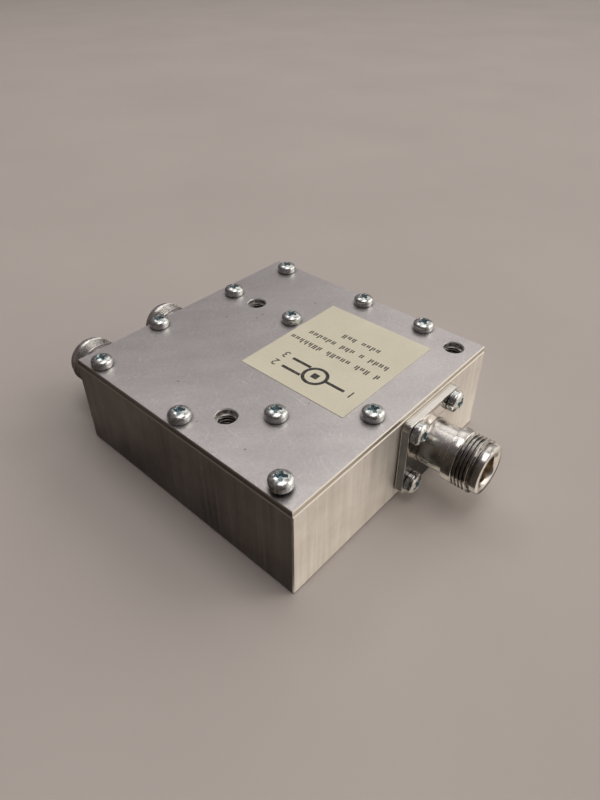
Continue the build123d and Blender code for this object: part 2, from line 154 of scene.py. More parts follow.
# Stage. The lights are soft boxes: place, aim, size, watts and colour.
WARM = (1.0, 0.965, 0.93)
WHITE = (1.0, 0.97, 0.93)
LIGHTS = {
    "strip": ((0.34, 0.53, 1.58), (0, 0, 0), (1.0, 0.14), 0.7, WHITE),
    "overhead": ((0.03, -0.20, 1.70), (0, 0, 0), (1.1, 0.85), 5.8, WARM),
    "back": ((0.28, 0.97, 1.49), (0, 0, 0), (0.6, 0.3), 1.7, WARM),
    "side": ((1.25, 0.45, 1.30), (0, 0, 0), (0.9, 0.9), 1.8, WARM),
    "key": ((1.03, -0.96, 1.35), (0, -0.02, 0.02), (0.45, 0.45), 1.9, WHITE),
}
FLOOR_RADII = (8000, 900, 300)
FLOOR_STEPS = 96
FLOOR_DROP = 0.03
CARD_X = -1.6
CARD_CORNERS = ((-43.4, 0.5), (-80, 0.5), (-80, 26), (-43.4, 26))  # along Y and Z

# Sky. Each part is brightest one way. Its stops are the cosine of the angle to that way,
# and the radiance there.
SIDE_AIM = (0.76, -0.06, 0.65)
SIDE_STOPS = (
    (-0.75, (0.11, 0.097, 0.093)),
    (-0.30, (0.092, 0.078, 0.075)),
    (0.05, (0.093, 0.078, 0.080)),
    (0.45, (0.19, 0.170, 0.174)),
    (0.75, (0.29, 0.271, 0.270)),
    (1.0, (0.42, 0.405, 0.385)),
)
GLOW_AIM = (0.72, -0.68, 0.08)
GLOW_STOPS = ((0.55, (0.0, 0.0, 0.0)), (0.98, (1.45, 1.37, 1.26)))
BACKDROP = (0.35, 0.322, 0.305)

# Scratches on the lid: turn in degrees, length in millimetres and threshold
SCRATCHES = ((-38, 6, 0.78), (8, 13, 0.77), (84, 5, 0.79), (-70, 10, 0.78), (30, 4, 0.78))
SCRATCH_EDGE = 0.06
GAP_SAMPLES = 6

# Print on the label, in its own frame: u runs along the rows of marks, v up the label
FILM_EDGE_R = 0.02
INK_THICKNESS = 0.012
STROKE = 1.05
DIAGRAM_V = 33.6
LEAD_START_U = 6.5
RING_U = 17.0
RING_R = 4.1
RING_STEPS = 48
RING_OVERLAP = 0.02
CORE_HALF = 1.1
BRANCH_V = 2.4
BRANCH_END_U = 27.6
NUMERAL_HEIGHT = 4.2
NUMERAL_DROP = 1.5
NUMERALS = (("1", 4.2, 0), ("2", 30.4, BRANCH_V), ("3", 30.4, -BRANCH_V))
# Rows of marks: where a row starts, its count of places, its foot and the empty places
MARK_ROWS = ((3.0, 19, 21.5, (1, 5, 11)), (3.6, 17, 16.3, (4, 6, 10)), (10.4, 8, 11.0, (4,)))
MARK_HEIGHTS = (0.62, 0.74, 1.0)
MARK_PITCH = 1.78
MARK_HEIGHT = 2.25
MARK_WIDTH = 0.44
MARK_GAP = 0.72


def corners_mm(node):
    """Lowest and highest corner of a CAD node in millimetres."""
    low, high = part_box(node)
    return low / MM, high / MM


def solid_corners(node):
    """Lowest and highest corner of each solid of a CAD node, in millimetres."""
    bm = bmesh.new()
    bm.from_mesh(frame["nodes"][node].data)
    bmesh.ops.scale(bm, vec=(1 / MM,) * 3, verts=bm.verts)
    bmesh.ops.remove_doubles(bm, verts=bm.verts, dist=WELD_MM)
    unseen = set(bm.verts)
    found = []
    while unseen:
        reached = [unseen.pop()]
        for vert in reached:
            for edge in vert.link_edges:
                other = edge.other_vert(vert)
                if other in unseen:
                    unseen.remove(other)
                    reached.append(other)
        low = Vector(min(v.co[i] for v in reached) for i in range(3))
        high = Vector(max(v.co[i] for v in reached) for i in range(3))
        found.append((low, high))
    bm.free()
    return sorted(found, key=lambda pair: tuple(round(x, 2) for x in pair[0]))


# Mesh building


def add_rings(bm, rings, material=0, closed=False):
    """Skins rows of points, all of one length, with quads. Rows run round an axis."""
    rows = [[bm.verts.new(point) for point in ring] for ring in rings]
    pairs = list(zip(rows, rows[1:]))
    if closed:
        pairs.append((rows[-1], rows[0]))
    for low, high in pairs:
        for i, corner in enumerate(low):
            j = (i + 1) % len(low)
            face = bm.faces.new((corner, low[j], high[j], high[i]))
            face.material_index = material
    return rows


def add_cap(bm, ring, point, material=0):
    """Closes a row of vertices with a fan to one point."""
    centre = bm.verts.new(point)
    for i, corner in enumerate(ring):
        face = bm.faces.new((corner, ring[(i + 1) % len(ring)], centre))
        face.material_index = material


def circle(radius, height, steps):
    turns = [2 * math.pi * i / steps for i in range(steps)]
    return [Vector((radius * math.cos(a), radius * math.sin(a), height)) for a in turns]


def helix_profile(phase, crest_r, depth):
    """Radius of a thread at a share of its pitch: rounded crest, flank, root."""
    across = min(phase, 1 - phase) * 2
    slope = min(1, max(0, (across - CREST_SHARE) / (1 - ROOT_SHARE - CREST_SHARE)))
    return crest_r - depth * (slope * slope * (3 - 2 * slope))


def add_thread(bm, start, end, pitch, crest_r, depth, steps, material=0):
    """A threaded skin between two heights whose rows follow the helix."""
    turns = math.ceil((end - start) / pitch) + 1
    marks = [(turn + phase, phase) for turn in range(-1, turns) for phase in THREAD_PHASES]
    per_turn = len(THREAD_PHASES)
    run_out = pitch * RUN_OUT_SHARE
    rows = []
    for mark, phase in marks:
        row = []
        for i in range(steps):
            height = start + (mark + i / steps) * pitch
            inside = min(max(height, start), end)
            fade = min(1, (inside - start) / run_out, (end - inside) / run_out)
            radius = helix_profile(phase, crest_r, depth * max(0, fade))
            angle = 2 * math.pi * i / steps
            place = (radius * math.cos(angle), radius * math.sin(angle), inside)
            row.append(bm.verts.new(place))
        rows.append(row)
    for r in range(len(rows) - 1):
        for i in range(steps):
            wraps = i == steps - 1
            low, high = (r + per_turn, r + 1 + per_turn) if wraps else (r, r + 1)
            if high >= len(rows):
                continue
            j = (i + 1) % steps
            face = bm.faces.new((rows[r][i], rows[low][j], rows[high][j], rows[r + 1][i]))
            face.material_index = material


def tidy_mesh(bm):
    """Welds a mesh, drops what has no area and turns its faces outward."""
    bmesh.ops.remove_doubles(bm, verts=bm.verts, dist=WELD_MM)
    bmesh.ops.dissolve_degenerate(bm, edges=bm.edges, dist=WELD_MM / 2)
    loose = [v for v in bm.verts if not v.link_faces]
    bmesh.ops.delete(bm, geom=loose, context="VERTS")
    bmesh.ops.recalc_face_normals(bm, faces=bm.faces)


def add_object(name, bm, materials):
    """Turns a mesh in millimetres into an object of the scene, in metres."""
    bmesh.ops.scale(bm, vec=(MM,) * 3, verts=bm.verts)
    mesh = bpy.data.meshes.new(name)
    bm.to_mesh(mesh)
    bm.free()
    for material in materials:
        mesh.materials.append(material)
    made = bpy.data.objects.new(name, mesh)
    bpy.context.scene.collection.objects.link(made)
    return made


def make_piece(name, bm, materials, replaced=(), smooth_angle=35):
    """Turns a mesh in millimetres into a smooth-shaded piece that rides on the body."""
    piece = add_object(name, bm, materials)
    mesh = piece.data
    mesh.polygons.foreach_set("use_smooth", [True] * len(mesh.polygons))
    mesh.set_sharp_from_angle(angle=math.radians(smooth_angle))
    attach(piece, "root")
    if replaced:
        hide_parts(*replaced)


def add_copies(bm, part, places):
    """Adds a mesh to another once for each matrix."""
    mesh = bpy.data.meshes.new("part")
    part.to_mesh(mesh)
    for place in places:
        before = len(bm.verts)
        bm.from_mesh(mesh)
        bm.verts.ensure_lookup_table()
        bmesh.ops.transform(bm, matrix=place, verts=bm.verts[before:])
    bpy.data.meshes.remove(mesh)


def add_curve(bm, curve, shift):
    """Adds a filled curve's solid to a mesh, moved by a vector, and deletes the curve."""
    holder = bpy.data.objects.new(curve.name, curve)
    bpy.context.scene.collection.objects.link(holder)
    depsgraph = bpy.context.evaluated_depsgraph_get()
    mesh = bpy.data.meshes.new_from_object(holder.evaluated_get(depsgraph))
    before = len(bm.verts)
    bm.from_mesh(mesh)
    bm.verts.ensure_lookup_table()
    bmesh.ops.translate(bm, vec=shift, verts=bm.verts[before:])
    bpy.data.objects.remove(holder)
    bpy.data.curves.remove(curve)
    bpy.data.meshes.remove(mesh)


def add_flat(bm, outlines, low, high, edge_r=0.0):
    """A plate with rounded edges: the first outline is its rim, the others its holes."""
    curve = bpy.data.curves.new("plate", "CURVE")
    curve.dimensions = "2D"
    curve.fill_mode = "BOTH"
    curve.extrude = (high - low) / 2 - edge_r
    curve.bevel_depth = edge_r
    curve.bevel_resolution = 2
    curve.offset = -edge_r
    for points in outlines:
        spline = curve.splines.new("POLY")
        spline.points.add(len(points) - 1)
        for spot, (x, y) in zip(spline.points, points):
            spot.co = (x, y, 0, 1)
        spline.use_cyclic_u = True
    add_curve(bm, curve, (0, 0, (low + high) / 2))


def rectangle(x0, y0, x1, y1):
    return [(x0, y0), (x1, y0), (x1, y1), (x0, y1)]


def rounded_square(side, radius):
    """Corner arcs joined by straight sides, anticlockwise."""
    points = []
    reach = side / 2 - radius
    for quarter, (sx, sy) in enumerate(((1, 1), (-1, 1), (-1, -1), (1, -1))):
        for i in range(FLANGE_CORNER_STEPS + 1):
            angle = math.pi / 2 * (quarter + i / FLANGE_CORNER_STEPS)
            x = sx * reach + radius * math.cos(angle)
            y = sy * reach + radius * math.sin(angle)
            points.append((x, y))
    return points


def round_hole(x, y, radius, steps=32):
    """A circle that runs clockwise, as a hole in a plate does."""
    turns = [-2 * math.pi * i / steps for i in range(steps)]
    return [(x + radius * math.cos(a), y + radius * math.sin(a)) for a in turns]


# Materials


class Surface:
    """A principled material and short calls for the nodes behind it."""

    def __init__(self, name, colour, metallic, roughness, **values):
        self.material = bpy.data.materials.new(name)
        self.material.use_nodes = True
        self.tree = self.material.node_tree
        self.shader = self.tree.nodes["Principled BSDF"]
        self.set("Base Color", (*colour, 1))
        self.set("Metallic", metallic)
        self.set("Roughness", roughness)
        for socket, value in values.items():
            self.set(socket.replace("_", " "), value)
        self.place = self.node("ShaderNodeTexCoord").outputs["Object"]

    def set(self, socket, value):
        """Puts a value or a link on one of the shader's own sockets."""
        self.join(self.shader.inputs[socket], value)

    def join(self, socket, value):
        if isinstance(value, bpy.types.NodeSocket):
            self.tree.links.new(value, socket)
        else:
            socket.default_value = value

    def node(self, kind, inputs=(), **settings):
        made = self.tree.nodes.new(kind)
        for key, value in settings.items():
            setattr(made, key, value)
        for key, value in dict(inputs).items():
            self.join(made.inputs[key], value)
        return made

    def stretched(self, scale, turn=(0, 0, 0), shift=(0, 0, 0)):
        """Object coordinates scaled by axis, in features for each metre."""
        angles = tuple(math.radians(a) for a in turn)
        turned = self.node("ShaderNodeMapping", {"Vector": self.place, "Rotation": angles})
        inputs = {"Vector": turned.outputs[0], "Scale": scale, "Location": shift}
        return self.node("ShaderNodeMapping", inputs).outputs[0]

    def noise(self, scale, detail, turn=(0, 0, 0), shift=(0, 0, 0), roughness=0.5):
        place = self.stretched(scale, turn, shift)
        inputs = {"Vector": place, "Scale": 1.0, "Detail": detail, "Roughness": roughness}
        return self.node("ShaderNodeTexNoise", inputs).outputs["Fac"]

    def spread(self, value, from_low, from_high, low=0.0, high=1.0):
        """Carries one range over to another and holds it there."""
        inputs = {"Value": value, "From Min": from_low, "From Max": from_high}
        inputs.update({"To Min": low, "To Max": high})
        return self.node("ShaderNodeMapRange", inputs).outputs["Result"]

    def zone(self, place, start_mm, end_mm, low=0.0, high=1.0):
        """Goes from one value to another between two places."""
        return self.spread(place, start_mm * MM, end_mm * MM, low, high)

    def maths(self, operation, first, second=0.0, third=0.0):
        made = self.node("ShaderNodeMath", {0: first, 1: second, 2: third}, operation=operation)
        return made.outputs[0]

    def blend(self, share, first, second):
        """Mixes two colours by a share."""
        made = self.node("ShaderNodeMix", data_type="RGBA")
        sockets = [s for s in made.inputs if s.type == "RGBA"]
        self.join(made.inputs[0], share)
        for socket, colour in zip(sockets, (first, second)):
            self.join(socket, (*colour, 1) if isinstance(colour, tuple) else colour)
        return next(s for s in made.outputs if s.type == "RGBA")

    def tones(self, field, low, high, first, second):
        """Two colours, mixed by where a field lies in a range."""
        return self.blend(self.spread(field, low, high), first, second)

    def bump(self, height, depth_mm, strength):
        """Gives the shader a relief of so many millimetres."""
        inputs = {"Height": height, "Distance": depth_mm * MM, "Strength": strength}
        self.set("Normal", self.node("ShaderNodeBump", inputs).outputs["Normal"])

    def openness(self, reach_mm, low, high):
        """1 on open faces and 0 in gaps and corners narrower than the reach. The finishes use it to
        paint shade into those gaps and corners.
        """
        reach = {"Distance": reach_mm * MM}
        found = self.node("ShaderNodeAmbientOcclusion", reach, samples=GAP_SAMPLES)
        return self.spread(found.outputs["AO"], low, high)

    def facing(self, letter):
        """How far a face looks along an axis, from -1 to 1."""
        normal = self.node("ShaderNodeNewGeometry").outputs["True Normal"]
        return self.node("ShaderNodeSeparateXYZ", {"Vector": normal}).outputs[letter]

    def axis(self, letter):
        parts = self.node("ShaderNodeSeparateXYZ", {"Vector": self.place})
        return parts.outputs[letter]

    def scratches(self, turn, length_mm, width_mm, share, shift=(0, 0, 0)):
        """Thin straight scratches, 1 on a scratch and 0 between them."""
        scale = (1 / (width_mm * MM), 1 / (length_mm * MM), 1 / (length_mm * MM))
        field = self.noise(scale, detail=0, turn=(0, 0, turn), shift=shift)
        return self.spread(field, share, share + SCRATCH_EDGE)


def milled_aluminium(high):
    """Linished side faces: fine upright streaks, a soft cloudiness and painted shade in corners and
    gaps.
    """
    s = Surface("milled_aluminium", (0.73, 0.70, 0.66), 1.0, 0.5)
    fine = s.noise((5200, 5200, 60), detail=4, roughness=0.7)
    broad = s.noise((620, 620, 22), detail=3)
    cloud = s.noise((60, 60, 75), detail=5, roughness=0.6)
    tone = s.maths("MULTIPLY_ADD", fine, 0.5, s.maths("MULTIPLY", broad, 0.5))
    mottled = s.maths("MULTIPLY_ADD", cloud, 0.4, s.maths("MULTIPLY", tone, 0.6))
    face = s.tones(mottled, 0.36, 0.64, (0.62, 0.585, 0.545), (0.88, 0.855, 0.815))
    brow = s.zone(s.axis("Z"), high.z - 0.36, high.z - 0.30)
    edged = s.blend(brow, face, (0.60, 0.56, 0.50))
    # Painted shade: the faces go to near black in corners and narrow gaps.
    unshaded = s.maths("MAXIMUM", s.openness(1.6, 0.25, 0.62), brow)
    s.set("Base Color", s.blend(unshaded, (0.045, 0.04, 0.035), edged))
    s.set("Roughness", s.spread(tone, 0.3, 0.7, 0.42, 0.58))
    s.bump(tone, 0.012, 0.6)
    return s.material


def cut_aluminium():
    """A freshly cut edge: bright, with fine rings."""
    s = Surface("cut_aluminium", (0.86, 0.84, 0.81), 0.8, 0.26)
    rings = s.noise((700, 700, 5200), detail=3)
    s.set("Base Color", s.tones(rings, 0.35, 0.65, (0.88, 0.865, 0.84), (1.0, 0.99, 0.97)))
    s.set("Roughness", s.spread(rings, 0.3, 0.7, 0.38, 0.52))
    s.bump(rings, 0.01, 0.5)
    return s.material


def tapped_aluminium():
    """Cut threads deep in a hole: a dull tone kept dark as painted shade, going to near black deep
    in the hole.
    """
    s = Surface("tapped_aluminium", (0.40, 0.37, 0.34), 0.7, 0.3)
    rings = s.noise((500, 500, 2600), detail=3)
    cut = s.tones(rings, 0.35, 0.65, (0.34, 0.31, 0.28), (0.62, 0.59, 0.56))
    # Painted shade: the threads go to near black where the hole closes round them.
    s.set("Base Color", s.blend(s.openness(7.0, 0.12, 0.62), (0.02, 0.017, 0.014), cut))
    s.set("Roughness", s.spread(rings, 0.3, 0.7, 0.22, 0.38))
    s.bump(rings, 0.01, 0.5)
    return s.material


def lid_aluminium(low, high):
    """Rolled sheet: satin, with scuffs, hair scratches, specks, bright burred edges and painted
    shade round the screw heads and in gaps.
    """
    s = Surface("lid_aluminium", (0.72, 0.70, 0.70), 1.0, 0.4)
    grain = s.noise((5200, 900, 900), detail=4, roughness=0.7, turn=(0, 0, 4))
    mottle = s.noise((1100, 1100, 1100), detail=4, roughness=0.65)
    cloud = s.noise((210, 210, 210), detail=5, roughness=0.6)
    tone = s.maths("MULTIPLY_ADD", grain, 0.4, s.maths("MULTIPLY", mottle, 0.6))
    smear = s.noise((45, 120, 45), detail=5, roughness=0.62, turn=(0, 0, 38))
    cast = s.maths("MULTIPLY_ADD", smear, 0.42, s.maths("MULTIPLY", tone, 0.58))
    sheet = s.tones(cast, 0.36, 0.64, (0.55, 0.520, 0.522), (0.72, 0.692, 0.688))
    marks = s.scratches(62, 9, 0.11, 0.77)
    for turn, length, share in SCRATCHES:
        more = s.scratches(turn, length, 0.09, share, shift=(turn, length, 1))
        marks = s.maths("MAXIMUM", marks, more)
    thin = s.maths("MULTIPLY", marks, s.spread(cloud, 0.40, 0.54))
    marked = s.blend(s.maths("MULTIPLY", thin, 0.9), sheet, (0.97, 0.95, 0.94))
    cells = s.node("ShaderNodeTexVoronoi", {"Vector": s.stretched((190, 190, 190)), "Scale": 1.0})
    near = s.spread(cells.outputs["Distance"], 0.045, 0.085, 1.0, 0.0)
    lone = s.spread(s.noise((95, 95, 95), detail=0, shift=(3, 8, 2)), 0.56, 0.59)
    speck = s.maths("MULTIPLY", near, lone)
    specked = s.blend(s.maths("MULTIPLY", speck, 0.6), marked, (0.16, 0.14, 0.13))
    half_x = (high.x - low.x) / 2 * MM
    half_y = (high.y - low.y) / 2 * MM
    from_x = s.maths("SUBTRACT", half_x, s.maths("ABSOLUTE", s.axis("X")))
    from_y = s.maths("SUBTRACT", half_y, s.maths("ABSOLUTE", s.axis("Y")))
    from_edge = s.maths("MINIMUM", from_x, from_y)
    edge = s.zone(from_edge, 0.20, 0.32, 1.0, 0.0)
    edged = s.blend(edge, specked, (0.54, 0.505, 0.45))
    walls = s.spread(s.facing("Z"), 0.2, 0.5, 1.0, 0.0)
    # Painted shade round the screw heads, under the raised one and in gaps; the hole walls are left
    # out of it.
    open_top = s.maths("MAXIMUM", s.openness(2.2, 0.42, 0.72), walls)
    gap_shaded = s.blend(open_top, (0.035, 0.03, 0.028), edged)
    inland = s.zone(from_edge, 1.0, 1.5)
    hole_wall = s.maths("MULTIPLY", walls, inland)
    cut = s.noise((800, 800, 1500), detail=3, roughness=0.7)
    bored = s.tones(cut, 0.44, 0.60, (0.16, 0.15, 0.14), (0.90, 0.88, 0.86))
    s.set("Base Color", s.blend(hole_wall, gap_shaded, bored))
    s.set("Metallic", s.maths("MULTIPLY_ADD", hole_wall, -0.8, 1.0))
    worn = s.spread(tone, 0.3, 0.7, 0.34, 0.46)
    s.set("Roughness", s.maths("SUBTRACT", worn, s.maths("MULTIPLY", thin, 0.12)))
    height = s.maths("SUBTRACT", tone, s.maths("MULTIPLY", thin, 0.8))
    s.bump(height, 0.012, 0.45)
    return s.material


def zinc_steel():
    """Bright zinc plate with a faint blue cast and small dull patches, and painted shade where a
    head meets what it sits on and in other narrow gaps.
    """
    s = Surface("zinc_steel", (0.74, 0.75, 0.74), 1.0, 0.25)
    patch = s.noise((1300, 1300, 1300), detail=4)
    plate = s.tones(patch, 0.38, 0.62, (0.50, 0.53, 0.525), (0.79, 0.79, 0.77))
    # Painted shade where the head meets what it sits on and in other narrow gaps.
    s.set("Base Color", s.blend(s.openness(1.4, 0.22, 0.60), (0.02, 0.018, 0.018), plate))
    s.set("Roughness", s.spread(patch, 0.35, 0.65, 0.17, 0.29))
    s.bump(patch, 0.025, 0.6)
    return s.material


def zinc_recess():
    """Inside the driver recess, where the blue passivation pools."""
    s = Surface("zinc_recess", (0.17, 0.26, 0.30), 0.6, 0.36)
    patch = s.noise((1500, 1500, 1500), detail=3)
    s.set("Base Color", s.tones(patch, 0.35, 0.65, (0.13, 0.205, 0.235), (0.44, 0.575, 0.615)))
    s.bump(patch, 0.03, 0.6)
    return s.material


def nickel_plate():
    """Turned and plated brass: bright, with fine rings round the jack's axis, a little rougher on
    the barrel than on the flange, painted lighter on the barrel to stand for its brighter
    highlight, and painted shade in corners."""
    s = Surface("nickel_plate", (0.66, 0.63, 0.59), 1.0, 0.24)
    rings = s.noise((12, 5200, 12), detail=2)
    haze = s.noise((420, 420, 420), detail=4)
    tone = s.maths("MULTIPLY_ADD", rings, 0.6, s.maths("MULTIPLY", haze, 0.4))
    plate = s.tones(tone, 0.35, 0.65, (0.57, 0.54, 0.505), (0.73, 0.71, 0.675))
    out = s.maths("ABSOLUTE", s.axis("Y"))
    barrel = s.zone(out, FLANGE_FACE_Y, FLANGE_FACE_Y + BARREL_FADE)
    # Painted highlight: the barrel's copy of the plate is lighter than the flange's.
    light = s.tones(tone, 0.35, 0.65, (0.68, 0.65, 0.613), (0.84, 0.82, 0.785))
    turned = s.blend(barrel, plate, light)
    # Painted shade in corners and narrow gaps.
    s.set("Base Color", s.blend(s.openness(1.2, 0.2, 0.62), (0.03, 0.026, 0.022), turned))
    smooth = s.spread(haze, 0.3, 0.7, 0.17, 0.24)
    s.set("Roughness", s.maths("MULTIPLY_ADD", barrel, 0.05, smooth))
    s.bump(rings, 0.006, 0.5)
    return s.material


def nickel_bright(name, dull, bright, smooth, rough, gap=(0.36, 0.82)):
    """The same plate on the thread and the nose: two tones, two roughnesses, and how open a groove
    is where its painted shade gives way to the plate."""
    s = Surface(name, bright, 1.0, rough)
    haze = s.noise((500, 500, 500), detail=4)
    plate = s.tones(haze, 0.35, 0.65, dull, bright)
    # Painted shade in the thread's grooves and other narrow gaps.
    s.set("Base Color", s.blend(s.openness(0.9, *gap), (0.035, 0.028, 0.022), plate))
    s.set("Roughness", s.spread(haze, 0.3, 0.7, smooth, rough))
    s.bump(haze, 0.004, 0.3)
    return s.material


def bore_plate():
    """The jack's inner wall, a thin warm plate over brass, painted dark to stand for the shade deep
    in the socket.
    """
    s = Surface("bore_plate", (0.30, 0.22, 0.13), 1.0, 0.28)
    rings = s.noise((60, 9000, 60), detail=3)
    # Painted shade: the plate's tones are kept dark, as the socket's inside is in shade.
    s.set("Base Color", s.tones(rings, 0.3, 0.7, (0.20, 0.15, 0.085), (0.34, 0.26, 0.155)))
    s.bump(rings, 0.008, 0.4)
    return s.material


def gold_plate():
    s = Surface("gold_plate", (0.72, 0.50, 0.20), 1.0, 0.2)
    patch = s.noise((1200, 1200, 1200), detail=3)
    s.set("Base Color", s.tones(patch, 0.35, 0.65, (0.60, 0.40, 0.15), (0.78, 0.57, 0.26)))
    s.set("Roughness", s.spread(patch, 0.3, 0.7, 0.16, 0.3))
    s.bump(patch, 0.01, 0.4)
    return s.material


def insulator_resin():
    """Waxy white resin that lets a little light in."""
    waxy = {"Subsurface_Weight": 0.15, "Subsurface_Scale": 1.0 * MM}
    s = Surface("insulator_resin", (0.80, 0.79, 0.76), 0.0, 0.45, **waxy)
    lathe = s.noise((400, 6000, 400), detail=2)
    s.set("Base Color", s.blend(lathe, (0.70, 0.69, 0.66), (0.84, 0.83, 0.80)))
    s.bump(lathe, 0.012, 0.5)
    return s.material


def label_film():
    """Aged cream film, faintly mottled, with a soft sheen."""
    s = Surface("label_film", (0.65, 0.61, 0.49), 0.0, 0.42, Coat_Weight=0.08, Coat_Roughness=0.3)
    cloud = s.noise((55, 55, 55), detail=5, roughness=0.65)
    pulp = s.noise((1400, 1400, 1400), detail=2)
    tone = s.maths("MULTIPLY_ADD", pulp, 0.35, s.maths("MULTIPLY", cloud, 0.65))
    film = s.tones(tone, 0.36, 0.64, (0.815, 0.768, 0.603), (0.895, 0.85, 0.675))
    s.set("Base Color", film)
    s.set("Roughness", s.spread(cloud, 0.3, 0.7, 0.36, 0.5))
    s.bump(tone, 0.012, 0.5)
    return s.material


def label_ink():
    s = Surface("label_ink", (0.035, 0.033, 0.03), 0.0, 0.5)
    wear = s.noise((900, 900, 900), detail=4)
    s.set("Base Color", s.tones(wear, 0.45, 0.75, (0.03, 0.028, 0.026), (0.12, 0.11, 0.095)))
    s.bump(wear, 0.004, 0.4)
    return s.material


def board_laminate():
    """Woven glass laminate in a pale resin."""
    s = Surface("board_laminate", (0.62, 0.60, 0.50), 0.0, 0.5)
    along = s.noise((2600, 300, 300), detail=2)
    across = s.noise((300, 2600, 300), detail=2, shift=(5, 2, 1))
    weave = s.maths("MAXIMUM", along, across)
    s.set("Base Color", s.tones(weave, 0.4, 0.7, (0.52, 0.50, 0.40), (0.70, 0.68, 0.58)))
    s.bump(weave, 0.02, 0.5)
    return s.material


def copper_foil():
    s = Surface("copper_foil", (0.80, 0.45, 0.30), 1.0, 0.3)
    patina = s.noise((220, 220, 220), detail=5)
    s.set("Base Color", s.tones(patina, 0.4, 0.7, (0.84, 0.50, 0.34), (0.52, 0.27, 0.17)))
    s.set("Roughness", s.spread(patina, 0.35, 0.7, 0.22, 0.42))
    s.bump(patina, 0.01, 0.4)
    return s.material


def resistor_ceramic():
    s = Surface("resistor_ceramic", (0.82, 0.81, 0.78), 0.0, 0.55)
    grit = s.noise((3000, 3000, 3000), detail=2)
    s.set("Base Color", s.blend(grit, (0.74, 0.73, 0.70), (0.88, 0.87, 0.84)))
    s.bump(grit, 0.01, 0.5)
    return s.material


def tinned_metal():
    s = Surface("tinned_metal", (0.72, 0.72, 0.70), 1.0, 0.3)
    frost = s.noise((1500, 1500, 1500), detail=4)
    s.set("Base Color", s.tones(frost, 0.35, 0.65, (0.60, 0.60, 0.59), (0.80, 0.80, 0.78)))
    s.set("Roughness", s.spread(frost, 0.3, 0.7, 0.2, 0.45))
    s.bump(frost, 0.02, 0.5)
    return s.material


# Pieces


def recess_outline(reach, half_width):
    """Four wings with a small square notch between each two, as points round the axis."""
    notch = half_width * NOTCH
    half = [
        (reach, 0),
        (reach, half_width * WING_END),
        (reach - half_width * WING_CORNER, half_width),
        ((reach + notch) / 2, half_width),
        (notch + half_width * NOTCH_CORNER, half_width),
        (notch, half_width * NOTCH_SHOULDER),
        (notch, notch),
    ]
    quarter = half + [(y, x) for x, y in half[-2:0:-1]]
    points = []
    for turn in range(4):
        spin = Matrix.Rotation(math.pi / 2 * turn, 2)
        points += [spin @ Vector(point) for point in quarter]
    return points


def crown_height(radius):
    share = min(1, radius / HEAD_R)
    return HEAD_RIM + (HEAD_HEIGHT - HEAD_RIM) * math.sqrt(1 - share * share)


def screw_mesh(length):
    """A pan head screw with a four-winged recess, its head's underside at the origin."""
    bm = bmesh.new()
    mouth = recess_outline(RECESS_REACH, RECESS_HALF_WIDTH)
    ways = [point.normalized() for point in mouth]

    def ring(radius, height):
        return [Vector((way.x * radius, way.y * radius, height)) for way in ways]

    skin = [
        ring(SHANK_R, 0),
        ring(HEAD_R - HEAD_UNDER_BREAK, 0),
        ring(HEAD_R, HEAD_UNDER_BREAK),
        ring(HEAD_R, HEAD_RIM * HEAD_WALL_SHARE),
    ]
    for degrees in CROWN_DEGREES:
        radius = HEAD_R * math.cos(math.radians(degrees))
        skin.append(ring(radius, crown_height(radius)))
    outer = skin[-1]
    for share in CROWN_SHARES:
        row = []
        for start, point in zip(outer, mouth):
            widened = point * (1 + RECESS_LIP / point.length)
            flat = start.xy.lerp(widened, share)
            row.append(Vector((*flat, crown_height(flat.length))))
        skin.append(row)
    rows = add_rings(bm, skin)
    foot_half_width = RECESS_HALF_WIDTH * RECESS_FLOOR_WIDTH
    foot = recess_outline(RECESS_REACH * RECESS_FLOOR_SHARE, foot_half_width)
    top = HEAD_HEIGHT - RECESS_DROP
    wall = []
    for share in RECESS_SHARES:
        row = []
        for point, low in zip(mouth, foot):
            flat = point.lerp(low, share)
            level = top - RECESS_DEPTH * share
            if share == 0:
                level = crown_height(point.length) - RECESS_LIP
            ceiling = crown_height(flat.length) - RECESS_LIP
            row.append(Vector((*flat, min(level, ceiling))))
        wall.append(row)
    walls = add_rings(bm, wall, material=1)
    for i, corner in enumerate(rows[-1]):
        j = (i + 1) % len(ways)
        bm.faces.new((corner, rows[-1][j], walls[0][j], walls[0][i]))
    add_cap(bm, walls[-1], (0, 0, top - RECESS_DEPTH * RECESS_POINT_SHARE), material=1)
    tip = SHANK_TIP - length
    add_thread(bm, tip, -SHANK_NECK, SHANK_PITCH, SHANK_R, SHANK_DEPTH, SHANK_STEPS)
    add_rings(bm, [circle(SHANK_R, z, SHANK_STEPS) for z in (-SHANK_NECK, 0)])
    cone = [(SHANK_R, tip), (SHANK_R - SHANK_TIP, -length)]
    end = add_rings(bm, [circle(r, z, SHANK_STEPS) for r, z in cone])[-1]
    add_cap(bm, end, (0, 0, -length))
    tidy_mesh(bm)
    return bm


def driven_screws(name, node, axis, materials, dice):
    """Replaces a node of screws. The axis is the way that their heads point."""
    outward = Vector(axis)
    stand = outward.to_track_quat("Z", "Y").to_matrix().to_4x4()
    solid_height = crown_height(CAD_RECESS_CORNER_R)
    places = []
    for low, high in solid_corners(node):
        middle = (low + high) / 2
        whole = abs((high - low).dot(outward))
        length = whole - solid_height
        seat = middle + outward * (whole / 2 - solid_height)
        turn = Matrix.Rotation(dice.uniform(0, math.pi / 2), 4, "Z")
        places.append(Matrix.Translation(seat) @ stand @ turn)
    screw = screw_mesh(length)
    bm = bmesh.new()
    add_copies(bm, screw, places)
    screw.free()
    make_piece(name, bm, materials, [node], smooth_angle=40)


def jack_place(node):
    """Carries a jack drawn round the Z axis to its place on the box, and its length."""
    low, high = corners_mm(node)
    side = -1 if low.y < 0 else 1
    face_y = high.y if side < 0 else low.y
    across = Vector((-side, 0, 0))
    outward = Vector((0, side, 0))
    turn = Matrix((across, outward.cross(across), outward)).transposed().to_4x4()
    middle = (low + high) / 2
    return Matrix.Translation((middle.x, face_y, middle.z)) @ turn, high.y - low.y


